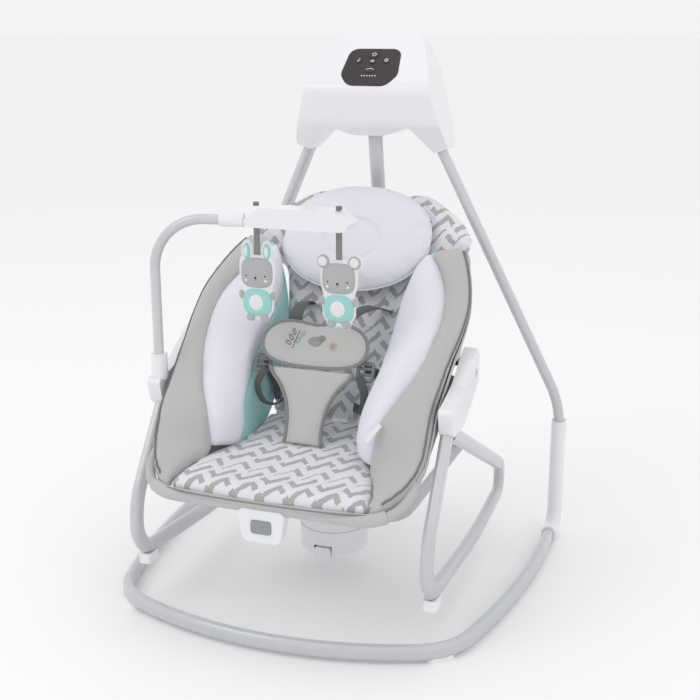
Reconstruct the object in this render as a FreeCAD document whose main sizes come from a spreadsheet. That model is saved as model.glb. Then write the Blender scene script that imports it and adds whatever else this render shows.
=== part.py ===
import FreeCAD, Part
import math
import os
import Sketcher
from FreeCAD import Matrix, Placement, Rotation, Vector

# A child's cradling swing with a lift-off rocker seat, in millimetres.
# +Z is up, the child faces -Y, X = 0 is the plane of symmetry, and the origin is
# on the floor under the middle of the swing.

doc = FreeCAD.newDocument("BabySwing")
sizes = doc.addObject("Spreadsheet::Sheet", "Sizes")

drivingSizes = [
    ("ovalThick", 19), ("ovalWide", 27), ("tubeWall", 1.5), ("fitGap", 0.3),
    ("baseHalfWidth", 357), ("baseHeight", 18), ("baseFrontCorner", 360),
    ("baseSideBend", 1390), ("baseCornerBend", 109), ("baseFrontBend", 638),
    ("sleeveThick", 27), ("sleeveWide", 36), ("sleeveStart", 238), ("sleeveTop", 232),
    ("elbowBend", 38), ("legBend", 200), ("legCorner", 262),
    ("headHalfSpan", 128), ("headSocketHeight", 742), ("headSocketBack", 244),
    ("footLength", 46), ("footWidth", 25), ("footRise", 12),
    ("axleHeight", 830), ("axleRadius", 6), ("axleLength", 78), ("axleFront", 208),
    ("armBack", 298), ("armTop", 236), ("armKnee", 505), ("armRun", 66), ("armBend", 110),
    ("dockCentre", 22), ("dockRadius", 62), ("dockFloor", 45), ("dockSplit", 88),
    ("dockCeiling", 134), ("bossRadius", 30), ("bossDepth", 22), ("spigotGap", 1),
    ("loopOffset", 252), ("railHeight", 90), ("crossHeight", 108), ("crossRadius", 10),
    ("housingThick", 23),
    ("pivotBack", -15), ("pivotHeight", 405), ("pivotRadius", 7), ("rockerFootLength", 34),
    ("hoopRadius", 8), ("hoopOffset", 226), ("bracketThick", 6), ("tubeFront", -292),
    ("tubeRise", 238), ("sleeveRadius", 8.6),
    ("seatWidth", 208), ("padThick", 32), ("backThick", 30), ("seatFront", -280),
    ("wingInset", 106), ("pillowHalfWidth", 125), ("pillowHalfLength", 103), ("pillowThick", 26),
    ("barRadius", 8.5), ("barOffset", -252), ("barBack", -148), ("barTop", 656), ("barFoot", 386),
    ("barBend", 62), ("socketRadius", 14), ("trayHalf", 93), ("trayDepth", 46), ("trayThick", 26),
    ("trayCentre", -4), ("toyThick", 16), ("strapWide", 12),
    ("unitWide", 80), ("unitTall", 54), ("unitDeep", 21), ("keyWide", 34), ("keyTall", 22),
    ("shellWall", 2.6), ("lensThick", 3), ("buttonRise", 1.2),
]
for row, (alias, value) in enumerate(drivingSizes, start=1):
    sizes.set("A%d" % row, alias)
    sizes.set("B%d" % row, str(value))
    sizes.setAlias("B%d" % row, alias)
doc.recompute()

nodes = {}                                   # label -> finished document object


def size(alias):
    return float(getattr(sizes, alias))


def keep(label, item):
    item.Label = label
    nodes[label] = item
    return item


# ---------------------------------------------------------------- shared shapes

def rounded_path(corners, radii, closed):
    """Lines and tangent arcs through a list of 2-D corners, each with its own radius."""
    count = len(corners)
    points = [Vector(c[0], c[1], 0) for c in corners]
    cuts = []
    for i, corner in enumerate(points):
        radius = radii[i]
        if radius <= 0 or (not closed and i in (0, count - 1)):
            cuts.append((corner, None, corner))
            continue
        back = (points[i - 1] - corner).normalize()
        ahead = (points[(i + 1) % count] - corner).normalize()
        half = back.getAngle(ahead) / 2
        reach = radius / math.tan(half)
        bisector = (back + ahead).normalize()
        middle = corner + bisector * (radius / math.sin(half) - radius)
        cuts.append((corner + back * reach, middle, corner + ahead * reach))
    edges = []
    for i in range(count):
        start, middle, end = cuts[i]
        if middle is not None:
            edges.append(Part.Arc(start, middle, end))
        if i + 1 < count or closed:
            nearest = cuts[(i + 1) % count][0]
            if (nearest - end).Length > 1e-4:
                edges.append(Part.LineSegment(end, nearest))
    return edges


def plane_of(body, role):
    return [f for f in body.Origin.OriginFeatures if f.Role == role][0]


def new_sketch(body, role, name):
    sketch = body.newObject("Sketcher::SketchObject", name)
    sketch.AttachmentSupport = [(plane_of(body, role), "")]
    sketch.MapMode = "FlatFace"
    return sketch


def add_circle(sketch, centre, radius_expression):
    index = sketch.addGeometry(Part.Circle(Vector(centre[0], centre[1], 0), Vector(0, 0, 1), 5), False)
    number = sketch.addConstraint(Sketcher.Constraint("Radius", index, 5.0))
    sketch.addConstraint(Sketcher.Constraint("DistanceX", -1, 1, index, 3, float(centre[0])))
    sketch.addConstraint(Sketcher.Constraint("DistanceY", -1, 1, index, 3, float(centre[1])))
    sketch.setExpression("Constraints[%d]" % number, radius_expression)


def add_oval(sketch, thick, wide, thick_expression, wide_expression):
    """A flat oval about the sketch's origin, wide along its own Y axis."""
    r, half = thick / 2, (wide - thick) / 2
    top = sketch.addGeometry(Part.ArcOfCircle(
        Part.Circle(Vector(0, half, 0), Vector(0, 0, 1), r), 0, math.pi), False)
    low = sketch.addGeometry(Part.ArcOfCircle(
        Part.Circle(Vector(0, -half, 0), Vector(0, 0, 1), r), math.pi, 2 * math.pi), False)
    left = sketch.addGeometry(Part.LineSegment(Vector(-r, half, 0), Vector(-r, -half, 0)), False)
    right = sketch.addGeometry(Part.LineSegment(Vector(r, -half, 0), Vector(r, half, 0)), False)
    for first, first_end, second, second_end in (
            (top, 2, left, 1), (left, 2, low, 1), (low, 2, right, 1), (right, 2, top, 1)):
        sketch.addConstraint(Sketcher.Constraint("Tangent", first, first_end, second, second_end))
    sketch.addConstraint(Sketcher.Constraint("Vertical", left))
    sketch.addConstraint(Sketcher.Constraint("Symmetric", top, 3, low, 3, -1, 1))
    number = sketch.addConstraint(Sketcher.Constraint("Radius", top, r))
    sketch.setExpression("Constraints[%d]" % number, "(%s) / 2" % thick_expression)
    number = sketch.addConstraint(Sketcher.Constraint("DistanceY", low, 3, top, 3, 2 * half))
    sketch.setExpression("Constraints[%d]" % number, "(%s) - (%s)" % (wide_expression, thick_expression))


def frame_from(origin, ahead, side):
    """Placement whose local X runs along ahead, with side in its local XY plane."""
    x = Vector(ahead).normalize()
    z = x.cross(Vector(side)).normalize()
    y = z.cross(x)
    m = Matrix(x.x, y.x, z.x, origin.x, x.y, y.y, z.y, origin.y, x.z, y.z, z.z, origin.z, 0, 0, 0, 1)
    return Placement(m)


def bent_tube(name, points, radii, section, solid=False, across=False):
    """A tube along points in one plane; section is 'oval', 'bore', 'cover' or a radius alias.

    The ovals lie wide in the plane of the path, or across it when across is set.
    """
    points = [Vector(*p) for p in points]
    side = points[2] - points[1] if len(points) > 2 else Vector(1, 0, 0)
    ahead = points[1] - points[0]
    if side.cross(ahead).Length < 1e-6:
        side = Vector(0, 0, 1) if abs(ahead.normalize().z) < 0.9 else Vector(0, 1, 0)
    place = frame_from(points[0], points[1] - points[0], side)
    flat = [place.inverse().multVec(p) for p in points]
    body = doc.addObject("PartDesign::Body", name)
    path = new_sketch(body, "XY_Plane", name + "Path")
    path.addGeometry(rounded_path([(p.x, p.y) for p in flat], radii, False), False)
    shape = new_sketch(body, "YZ_Plane", name + "Section")
    wall = "Sizes.tubeWall"
    if section in ("oval", "bore", "cover"):
        thick, wide = "Sizes.ovalThick", "Sizes.ovalWide"
        if section == "cover":
            thick, wide = "Sizes.sleeveThick", "Sizes.sleeveWide"
        if section == "bore":
            thick, wide = thick + " + 2 * Sizes.fitGap", wide + " + 2 * Sizes.fitGap"
        shape.AttachmentOffset = Placement(Vector(0, 0, 0), Rotation(Vector(0, 0, 1), 0 if across else 90))
        add_oval(shape, 19, 27, thick, wide)
        if section == "oval" and not solid:
            add_oval(shape, 16, 24, thick + " - 2 * " + wall, wide + " - 2 * " + wall)
        if section == "cover" and not solid:
            add_oval(shape, 19.6, 27.6, "Sizes.ovalThick + 2 * Sizes.fitGap",
                     "Sizes.ovalWide + 2 * Sizes.fitGap")
    else:
        add_circle(shape, (0, 0), "Sizes." + section)
        if not solid:
            add_circle(shape, (0, 0), "Sizes.%s - %s" % (section, wall))
    pipe = body.newObject("PartDesign::AdditivePipe", name + "Pipe")
    pipe.Profile = shape
    pipe.Spine = path
    body.Tip = pipe
    body.Placement = place
    return body


def plate(name, corners, radii, place, length, holes=(), symmetric=False):
    """A flat outline with rounded corners, padded by the expression in length."""
    body = doc.addObject("PartDesign::Body", name)
    sketch = new_sketch(body, "XY_Plane", name + "Outline")
    sketch.addGeometry(rounded_path(corners, radii, True), False)
    for centre, radius in holes:
        add_circle(sketch, centre, radius)
    pad = body.newObject("PartDesign::Pad", name + "Pad")
    pad.Profile = sketch
    pad.setExpression("Length", length)
    if symmetric:
        pad.SideType = "Symmetric"
    body.Tip = pad
    body.Placement = place
    return body


def disc(name, radius, height, place):
    item = doc.addObject("Part::Cylinder", name)
    item.setExpression("Radius", radius)
    item.setExpression("Height", height)
    item.Placement = place
    return item


def cut(name, base, *tools):
    item = base
    for i, tool in enumerate(tools):
        step = doc.addObject("Part::Cut", "%sCut%d" % (name, i))
        step.Base = item
        step.Tool = tool
        item = step
    return item


def fuse(name, *parts):
    item = doc.addObject("Part::MultiFuse", name + "Fuse")
    item.Shapes = list(parts)
    item.Refine = True
    return item


def rectangle(half_wide, low, high):
    return [(-half_wide, low), (half_wide, low), (half_wide, high), (-half_wide, high)]


FRONT = Rotation(Vector(1, 0, 0), 90)        # sketch X along X, sketch Y up, padded towards -Y
SIDE = Rotation(Vector(0.577350, 0.577350, 0.577350), 120)   # sketch X along Y, sketch Y up, padded +X
ALONG_Y = Rotation(Vector(1, 0, 0), -90)     # a cylinder's axis along +Y


def facing(centre, tilt_deg):
    """An upright sketch plane at centre that faces -Y and leans back by tilt_deg."""
    return Placement(Vector(*centre), FRONT.multiply(Rotation(Vector(1, 0, 0), -tilt_deg)))


sides = (("left", -1), ("right", 1))

# ---------------------------------------------------------------- swing frame

halfBase = size("baseHalfWidth")
baseZ = size("baseHeight")
frontArcY = size("baseFrontCorner") - size("baseFrontBend") * (1 / math.cos(math.radians(22.35)) - 1)
rearY = frontArcY + size("ovalThick") / 2 - size("sleeveWide") / 2      # legs stand here
tubeEnd = size("sleeveStart") + 22
basePoints = [(halfBase, tubeEnd, baseZ), (halfBase, -6, baseZ), (293, -239.5, baseZ),
              (0, -size("baseFrontCorner"), baseZ), (-293, -239.5, baseZ),
              (-halfBase, -6, baseZ), (-halfBase, tubeEnd, baseZ)]
baseRadii = [0, size("baseSideBend"), size("baseCornerBend"), size("baseFrontBend"),
             size("baseCornerBend"), size("baseSideBend"), 0]
keep("base_tube", bent_tube("BaseTube", basePoints, baseRadii, "oval", across=True))
legTools, frontFeet = [], []

for side, sign in sides:
    Name = side.capitalize()
    x = sign * halfBase
    socket = Vector(sign * size("headHalfSpan"), size("headSocketBack"), size("headSocketHeight"))
    corner = Vector(x, rearY, size("legCorner"))
    legTop = socket + (socket - corner).normalize() * 34
    legPoints = [(x, rearY, baseZ + size("elbowBend") + 12), tuple(corner), tuple(legTop)]
    legRadii = [0, size("legBend"), 0]
    keep("leg_tube_" + side, bent_tube("Leg" + Name, legPoints, legRadii, "oval", across=True))
    legTools.append(bent_tube("LegTool" + Name, legPoints, legRadii, "bore", solid=True, across=True))
    sleevePoints = [(x, size("sleeveStart"), baseZ), (x, rearY, baseZ), (x, rearY, size("sleeveTop"))]
    sleeve = bent_tube("Sleeve" + Name, sleevePoints, [0, size("elbowBend"), 0], "cover")
    keep("rear_sleeve_" + side, cut("RearSleeve" + Name, sleeve, legTools[-1]))
    # a low shoe under the front corner, hollowed on top for the tube
    turn = Rotation(Vector(0, 0, 1), sign * 42)
    shoe = plate("FrontFoot" + Name, rectangle(size("footLength") / 2, -size("footWidth") / 2,
                                               size("footWidth") / 2), [10] * 4,
                 Placement(Vector(sign * 272, -236, 0), turn), "Sizes.footRise")
    shoeTool = bent_tube("FootTool" + Name, basePoints, baseRadii, "bore", solid=True, across=True)
    frontFeet.append(cut("FrontFoot" + Name, shoe, shoeTool))
keep("front_feet", fuse("FrontFeet", *frontFeet))

# ---------------------------------------------------------------- drive head

headFrontView = [(-120, 737), (-76, 786), (-38, 767), (38, 767), (76, 786), (120, 737), (147, 747),
                 (124, 826), (108, 884), (76, 951), (-76, 951), (-108, 884), (-124, 826), (-147, 747)]
headFrontRadii = [5, 14, 90, 90, 14, 5, 8, 60, 60, 40, 40, 60, 60, 8]
headSideView = [(224, 734), (266, 734), (296, 800), (303, 925), (297, 951), (283, 951), (186, 854),
                (194, 790)]
headSideRadii = [4, 8, 40, 12, 6, 8, 30, 40]
seamY = 266


def inset(corners, distance):
    """The outline moved inwards (counter-clockwise corners)."""
    count = len(corners)
    moved = []
    for i in range(count):
        lines = []
        for a, b in ((corners[i - 1], corners[i]), (corners[i], corners[(i + 1) % count])):
            dx, dy = b[0] - a[0], b[1] - a[1]
            length = math.hypot(dx, dy)
            nx, ny = -dy / length, dx / length
            lines.append((nx, ny, nx * a[0] + ny * a[1] + distance))
        (a1, b1, c1), (a2, b2, c2) = lines
        det = a1 * b2 - a2 * b1
        moved.append(((c1 * b2 - c2 * b1) / det, (a1 * c2 - a2 * c1) / det))
    return moved


def head_block(name, distance):
    """The head's front view and side view, each drawn through, and what they have in common."""
    face = plate(name + "Face", inset(headFrontView, distance), headFrontRadii,
                 Placement(Vector(0, 330, 0), FRONT), "150")
    flank = plate(name + "Flank", inset(headSideView, distance), headSideRadii,
                  Placement(Vector(-170, 0, 0), SIDE), "340")
    block = doc.addObject("Part::Common", name)
    block.Base = face
    block.Tool = flank
    return block


def half_space(name, low, high):
    box = doc.addObject("Part::Box", name)
    box.Length, box.Width, box.Height = 400, high - low, 300
    box.Placement = Placement(Vector(-200, low, 700), Rotation())
    return box


tilt = math.degrees(math.atan2(283 - 186, 951 - 854))
faceMiddle = (0, 221, 889)                   # middle of the sloping face
lensOutline = [(-38, -45), (38, -45), (54, -20), (48, 42), (-48, 42), (-54, -20)]
lensRadii = [24, 24, 22, 18, 18, 22]

headBlock = head_block("HeadOuter", 0)
headHollow = head_block("HeadInner", size("shellWall"))
headShell = cut("HeadShell", headBlock, headHollow)


def on_face(depth):
    """A sketch plane on the sloping face, lying depth mm inside it."""
    lean = math.radians(tilt)
    return facing((0, faceMiddle[1] + depth * math.cos(lean), faceMiddle[2] - depth * math.sin(lean)), tilt)


lensWindow = plate("LensWindow", inset(lensOutline, -0.3), lensRadii, on_face(8), "20")
armSlot = plate("ArmSlot", rectangle(25, 226, 272), [18] * 4, Placement(Vector(0, 0, 750), Rotation()), "40")
buttonSpots = [("power", 0, 27, 9), ("melody", -26, 13, 6), ("volume", 0, 11, 6), ("timer", 26, 13, 6),
               ("speed", 0, -9, 8)]

front = doc.addObject("Part::Common", "HeadFrontBlank")
front.Base, front.Tool = headShell, half_space("FrontHalf", 180, seamY)
keep("head_front", cut("HeadFront", front, lensWindow, *legTools, armSlot))
rear = doc.addObject("Part::Common", "HeadRearBlank")
rear.Base, rear.Tool = headShell, half_space("RearHalf", seamY + 0.2, 330)
doorOutline = rectangle(44, 846, 922)
doorHole = plate("DoorHole", inset(doorOutline, -0.4), [8] * 4, Placement(Vector(0, 330, 0), FRONT), "38")
speakerX, speakerZ = 68, 878
grille = [disc("Grille%d" % i, "1.6", "20",
               Placement(Vector(speakerX + 8 * (i % 3 - 1), 290, speakerZ + 8 * (i // 3 - 1)), ALONG_Y))
          for i in range(9)]
screwSpots = [(-80, 905), (-92, 815), (92, 815), (80, 912)]
screwHoles = [disc("ScrewHole%d" % i, "4.2", "20", Placement(Vector(x, 288, z), ALONG_Y))
              for i, (x, z) in enumerate(screwSpots)]
screws = [disc("Screw%d" % i, "4", "8", Placement(Vector(x, 290, z), ALONG_Y))
          for i, (x, z) in enumerate(screwSpots)]
keep("head_screws", fuse("HeadScrews", *screws))
keep("head_rear", cut("HeadRear", rear, doorHole, *legTools, armSlot, fuse("Grille", *grille),
                      fuse("ScrewHoles", *screwHoles)))

lensBlank = plate("LensBlank", lensOutline, lensRadii, on_face(2.2), "Sizes.lensThick")
buttonHoles = []
for name, across, up, radius in buttonSpots:
    place = on_face(4)
    hole = disc("Hole_" + name, "%g + 0.35" % radius, "8",
                Placement(place.multVec(Vector(across, up, 0)), place.Rotation))
    cap = disc("Button_" + name, "%g" % radius, "4.2 + Sizes.buttonRise",
               Placement(on_face(3.4).multVec(Vector(across, up, 0)), place.Rotation))
    buttonHoles.append(hole)
    keep("button_" + name, cap)
keep("panel_lens", cut("PanelLens", lensBlank, *buttonHoles))
keep("circuit_board", plate("CircuitBoard", rectangle(46, -34, 32), [4] * 4, on_face(9), "1.6"))

axleY = size("axleFront")
axle = disc("SwingAxle", "Sizes.axleRadius", "Sizes.axleLength",
            Placement(Vector(0, axleY, size("axleHeight")), ALONG_Y))
keep("swing_axle", axle)
bearingBlocks = []
for i, y in enumerate((axleY + 3, axleY + 64)):
    block = plate("BearingBlock%d" % i, rectangle(17, -16, 16), [5] * 4,
                  Placement(Vector(0, y + 10, size("axleHeight")), FRONT), "10",
                  holes=[((0, 0), "Sizes.axleRadius + 0.06")])
    bearingBlocks.append(block)
keep("axle_bearings", fuse("AxleBearings", *bearingBlocks))
keep("drive_coil", plate("DriveCoil", rectangle(15, -15, 15), [14.9] * 4,
                         Placement(Vector(0, 281, 797), FRONT), "9", holes=[((0, 0), "7")]))
keep("speaker", disc("Speaker", "17", "12", Placement(Vector(speakerX, 282, speakerZ), ALONG_Y)))
battery = plate("BatteryBoxBlank", rectangle(45, 850, 918), [4] * 4, Placement(Vector(0, 294, 0), FRONT), "27")
batteryHollow = plate("BatteryHollow", rectangle(43, 852, 916), [3] * 4, Placement(Vector(0, 300, 0), FRONT), "31")
keep("battery_box", cut("BatteryBox", battery, batteryHollow))
keep("battery_door", plate("BatteryDoor", doorOutline, [8] * 4, Placement(Vector(0, 300.5, 0), FRONT), "2.6"))
cells = [disc("Cell%d" % i, "12.6", "50", Placement(Vector(-29 + 28 * i, 283.5, 858), Rotation()))
         for i in range(3)]
keep("batteries", fuse("Batteries", *cells))

# ---------------------------------------------------------------- swing arm and dock

armPoints = [(0, size("armTop"), size("axleHeight") - 17), (0, size("armBack"), size("armKnee")),
             (0, size("armBack"), size("armRun")), (0, 62, size("armRun"))]
armRadii = [0, 400, size("armBend"), 0]


armTool = bent_tube("ArmTool", armPoints, armRadii, "bore", solid=True, across=True)
keep("swing_arm", bent_tube("SwingArm", armPoints, armRadii, "oval", across=True))
collar = plate("ArmCollarBlank", rectangle(18, size("axleHeight") - 30, size("axleHeight") + 15), [9] * 4,
               Placement(Vector(0, size("armTop") + 15, 0), FRONT), "30",
               holes=[((0, size("axleHeight")), "Sizes.axleRadius + 0.02")])
keep("arm_collar", cut("ArmCollar", collar, armTool))
keep("drive_magnet", disc("DriveMagnet", "10", "5", Placement(Vector(0, size("armTop") + 19, 797), ALONG_Y)))

dock = Vector(0, size("dockCentre"), 0)
hubBlank = disc("DockHubBlank", "Sizes.dockRadius", "Sizes.dockSplit - Sizes.dockFloor",
                Placement(dock + Vector(0, 0, size("dockFloor")), Rotation()))
hubSocket = disc("DockSocket", "Sizes.bossRadius + Sizes.spigotGap", "60",
                 Placement(dock + Vector(0, 0, size("dockSplit") - size("bossDepth") - 1.5), Rotation()))
latchSlot = plate("LatchSlot", rectangle(17, 40, 62), [2] * 4, Placement(dock + Vector(0, -20, 0), FRONT), "60")
keep("dock_hub", cut("DockHub", hubBlank, hubSocket, armTool, latchSlot))
latch = plate("DockLatch", rectangle(15, 34, 60), [6] * 4, Placement(dock + Vector(0, -28, 0), FRONT), "38")
keep("dock_latch", latch)

# ---------------------------------------------------------------- rocker frame

adapterBlank = disc("AdapterBlank", "Sizes.dockRadius - 1", "Sizes.dockCeiling - Sizes.dockSplit - 0.6",
                    Placement(dock + Vector(0, 0, size("dockSplit") + 0.6), Rotation()))
boss = disc("AdapterBoss", "Sizes.bossRadius", "Sizes.bossDepth + 10",
            Placement(dock + Vector(0, 0, size("dockSplit") - size("bossDepth") + 0.6), Rotation()))
crossY, crossZ = size("dockCentre"), size("crossHeight")
crossPoints = [(-234, crossY, 268), (-128, crossY, crossZ), (128, crossY, crossZ), (234, crossY, 268)]
crossRadii = [0, 60, 60, 0]
keep("cross_tube", bent_tube("CrossTube", crossPoints, crossRadii, "crossRadius"))
crossTool = disc("CrossTool", "Sizes.crossRadius + 0.3", "160",
                 Placement(Vector(-80, crossY, crossZ), Rotation(Vector(0, 1, 0), 90)))
keep("seat_adapter", cut("SeatAdapter", fuse("AdapterSolid", adapterBlank, boss), crossTool))
collars = []
for side, sign in sides:
    ring = plate("CrossCollar" + side.capitalize(), rectangle(14, -14, 14), [13.9] * 4,
                 Placement(Vector(sign * 65.5 - 2.5, crossY, crossZ), SIDE), "5",
                 holes=[((0, 0), "Sizes.crossRadius + 0.3")])
    collars.append(ring)
keep("cross_collars", fuse("CrossCollars", *collars))

loopX = size("loopOffset")
rail = size("railHeight")
loopView = [(-118, 376), (-247, 195), (-250, rail + 12), (60, rail - 14), (262, rail), (262, 143), (-122, 334)]
loopRadii = [0, 105, 56, 1200, 24, 33, 0]
housingView = [(-170, 384), (-158, 338), (-92, 338), (-35, 364), (3, 388), (7, 430), (-6, 448), (-34, 436),
               (-86, 404), (-140, 390)]
housingRadii = [8, 14, 24, 60, 16, 14, 8, 30, 60, 14]
rockerFeet = []
pivot = (size("pivotBack"), size("pivotHeight"))
for side, sign in sides:
    Name = side.capitalize()
    loopPoints = [(sign * loopX, y, z) for y, z in loopView]
    keep("rocker_loop_" + side, bent_tube("RockerLoop" + Name, loopPoints, loopRadii, "oval"))
    innerFace = loopX - 9.5 if sign > 0 else -(loopX - 9.5) - size("housingThick")
    housing = plate("HousingBlank" + Name, housingView, housingRadii,
                    Placement(Vector(innerFace, 0, 0), SIDE), "Sizes.housingThick",
                    holes=[(pivot, "Sizes.pivotRadius + 0.05")])
    tools = [bent_tube("LoopTool" + Name, loopPoints, loopRadii, "bore", solid=True)]
    if sign < 0:
        tools.append(disc("StemTool", "Sizes.socketRadius + 0.2", "60",
                          Placement(Vector(size("barOffset"), size("barBack"), size("barFoot") - 5), Rotation())))
    keep("side_housing_" + side, cut("SideHousing" + Name, housing, *tools))
    foot = plate("RockerFootBlank" + Name, rectangle(11, -size("rockerFootLength") / 2,
                                                     size("rockerFootLength") / 2), [5] * 4,
                 Placement(Vector(sign * loopX, -214, rail - 16), Rotation()), "18")
    footTool = bent_tube("FootLoopTool" + Name, loopPoints, loopRadii, "bore", solid=True)
    rockerFeet.append(cut("RockerFoot" + Name, foot, footTool))
keep("rocker_feet", fuse("RockerFeet", *rockerFeet))

barX, barY = size("barOffset"), size("barBack")
cup = disc("SocketBlank", "Sizes.socketRadius", "44",
           Placement(Vector(barX, barY, size("barFoot") - 4), Rotation()))
cupBore = disc("SocketBore", "Sizes.barRadius + 0.06", "60",
               Placement(Vector(barX, barY, size("barFoot") - 0.5), Rotation()))
keep("toy_socket", cut("ToySocket", cup, cupBore))

# ---------------------------------------------------------------- seat frame

hoopX = size("hoopOffset")
tubeFrontY, tubeFrontZ = size("tubeFront"), size("tubeRise")
seatTubePoints = [(-hoopX, -25, 395), (-hoopX + 4, tubeFrontY, tubeFrontZ),
                  (hoopX - 4, tubeFrontY, tubeFrontZ), (hoopX, -25, 395)]
seatTubeRadii = [0, 70, 70, 0]
seatTubeTool = bent_tube("SeatTubeTool", seatTubePoints, seatTubeRadii, "sleeveRadius", solid=True)
backTubePoints = [(-hoopX, -4, 416), (-186, 235, 582), (186, 235, 582), (hoopX, -4, 416)]
keep("seat_tube", bent_tube("SeatTube", seatTubePoints, seatTubeRadii, "hoopRadius"))
keep("back_tube", bent_tube("BackTube", backTubePoints, [0, 80, 80, 0], "hoopRadius"))
brackets = []
for side, sign in sides:
    Name = side.capitalize()
    start = hoopX + size("hoopRadius") + 0.4
    innerFace = start if sign > 0 else -start - size("bracketThick")
    bracket = plate("BracketBlank" + Name, [(-40, 386), (-8, 384), (12, 420), (-12, 430)], [12, 12, 12, 12],
                    Placement(Vector(innerFace, 0, 0), SIDE), "Sizes.bracketThick")
    pin = disc("PivotPin" + Name, "Sizes.pivotRadius", "30",
               Placement(Vector(innerFace if sign > 0 else -start - 30, pivot[0], pivot[1]),
                         Rotation(Vector(0, 1, 0), 90)))
    brackets.append(fuse("PivotBracket" + Name, bracket, pin))
keep("pivot_brackets", fuse("PivotBrackets", *brackets))

# ---------------------------------------------------------------- padded seat

# station: middle of the cushion's face (y, z), lean of its normal, half width of the rim, rim rise, crest
stations = [(-276, 236, 0, 140, 4, 0), (-240, 246, 5, 205, 22, 8), (-190, 258, 18, 230, 48, 16),
            (-135, 272, 28, 238, 88, 26), (-50, 286, 38, 240, 135, 34), (20, 335, 48, 240, 140, 36),
            (85, 430, 54, 240, 100, 28), (137, 504, 57, 226, 74, 14), (171, 558, 57, 203, 49, 6),
            (202, 605, 57, 168, 26, 2)]


def wing_section(name, sign, station):
    y, z, lean, rim, rise, crest = station
    away = Vector(0, -math.sin(math.radians(lean)), math.cos(math.radians(lean)))
    middle = Vector(0, y, z)
    under = -(size("padThick") - 2)
    outline = [(size("wingInset"), under), (size("wingInset"), crest), (rim - 5, rise + 2), (rim, rise - 6),
               (rim - 7, rise - 18), (min(150, rim - 30), under)]
    points = [middle + Vector(sign * x, 0, 0) + away * n for x, n in outline]
    item = doc.addObject("Part::Feature", name)
    item.Shape = Part.makePolygon(points + points[:1])
    return item


for side, sign in sides:
    Name = side.capitalize()
    wing = doc.addObject("Part::Loft", "Wing" + Name)
    wing.Sections = [wing_section("Wing%s%d" % (Name, i), sign, s) for i, s in enumerate(stations)]
    wing.Solid = True
    wing.Ruled = False
    keep("wing_" + side, cut("WingCover" + Name, wing, seatTubeTool))

seatLine = [(-280, 238), (-240, 246), (-190, 258), (-135, 272), (-50, 286), (4, 300)]
seatProfile = [(y, z - size("padThick")) for y, z in seatLine] + seatLine[::-1]
keep("seat_pad", plate("SeatPad", seatProfile, [10, 60, 0, 0, 60, 10, 10, 60, 0, 0, 60, 10],
                       Placement(Vector(0, 0, 0), SIDE), "Sizes.seatWidth", symmetric=True))
backLine = [(8, 313), (20, 335), (85, 430), (202, 605), (228, 650)]
reach = (size("backThick") * math.cos(math.radians(33)), -size("backThick") * math.sin(math.radians(33)))
backProfile = [(y + reach[0], z + reach[1]) for y, z in backLine] + backLine[::-1]
backFlank = plate("BackFlank", backProfile, [8, 0, 100, 0, 10, 10, 0, 100, 0, 8],
                  Placement(Vector(0, 0, 0), SIDE), "360", symmetric=True)
half = size("seatWidth") / 2
backView = [(-half, -60), (half, -60), (half, 353), (148, 353), (134, 381), (76, 406), (-76, 406),
            (-134, 381), (-148, 353), (-half, 353)]
backFace = plate("BackFace", backView, [20, 20, 0, 6, 24, 40, 40, 24, 6, 0],
                 facing((0, 8 + 60, 313 - 40), 33.8), "220", symmetric=True)
backPad = doc.addObject("Part::Common", "BackPad")
backPad.Base, backPad.Tool = backFlank, backFace
keep("back_pad", backPad)

pillow = doc.addObject("Part::Ellipsoid", "Pillow")
pillow.setExpression("Radius1", "Sizes.pillowThick * 0.8")
pillow.setExpression("Radius2", "Sizes.pillowHalfWidth")
pillow.setExpression("Radius3", "Sizes.pillowHalfLength")
pillow.Placement = facing((0, 143, 588), 33.8)
keep("pillow", pillow)

# ---------------------------------------------------------------- harness

chest = (0, -66, 442)
keep("chest_pad", plate("ChestPad", rectangle(92, -37, 37), [34] * 4, facing(chest, 24), "13"))
strapLean = math.degrees(math.atan2(49, 126))
keep("crotch_strap", plate("CrotchStrap", [(-31, 2), (31, 2), (34, 60), (62, 128), (-62, 128), (-34, 60)],
                           [4, 4, 90, 6, 6, 90], facing((0, -129, 287), strapLean), "6"))


def ribbon(name, start, end, wide, thick):
    """A flat strap from start to end, its width across the object."""
    start, end = Vector(*start), Vector(*end)
    place = frame_from(start, end - start, Vector(1, 0, 0))
    return plate(name, [(0, -wide / 2), ((end - start).Length, -wide / 2), ((end - start).Length, wide / 2),
                        (0, wide / 2)], [2] * 4, place, "%g" % thick)


shoulder = [ribbon("ShoulderStrap" + s.capitalize(), (sign * 48, -44, 476), (sign * 54, 88, 476), 24, 3)
            for s, sign in sides]
keep("shoulder_straps", fuse("ShoulderStraps", *shoulder))
waist = [ribbon("WaistStrap" + s.capitalize(), (sign * 94, -62, 390), (sign * 94, -12, 322), 18, 3)
         for s, sign in sides]
keep("waist_straps", fuse("WaistStraps", *waist))
buckles = [plate("Buckle" + s.capitalize(), rectangle(11, -11, 11), [4] * 4,
                 Placement(Vector(sign * 95, -62, 403), FRONT), "9") for s, sign in sides]
keep("buckles", fuse("Buckles", *buckles))

# ---------------------------------------------------------------- soothing unit

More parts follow.
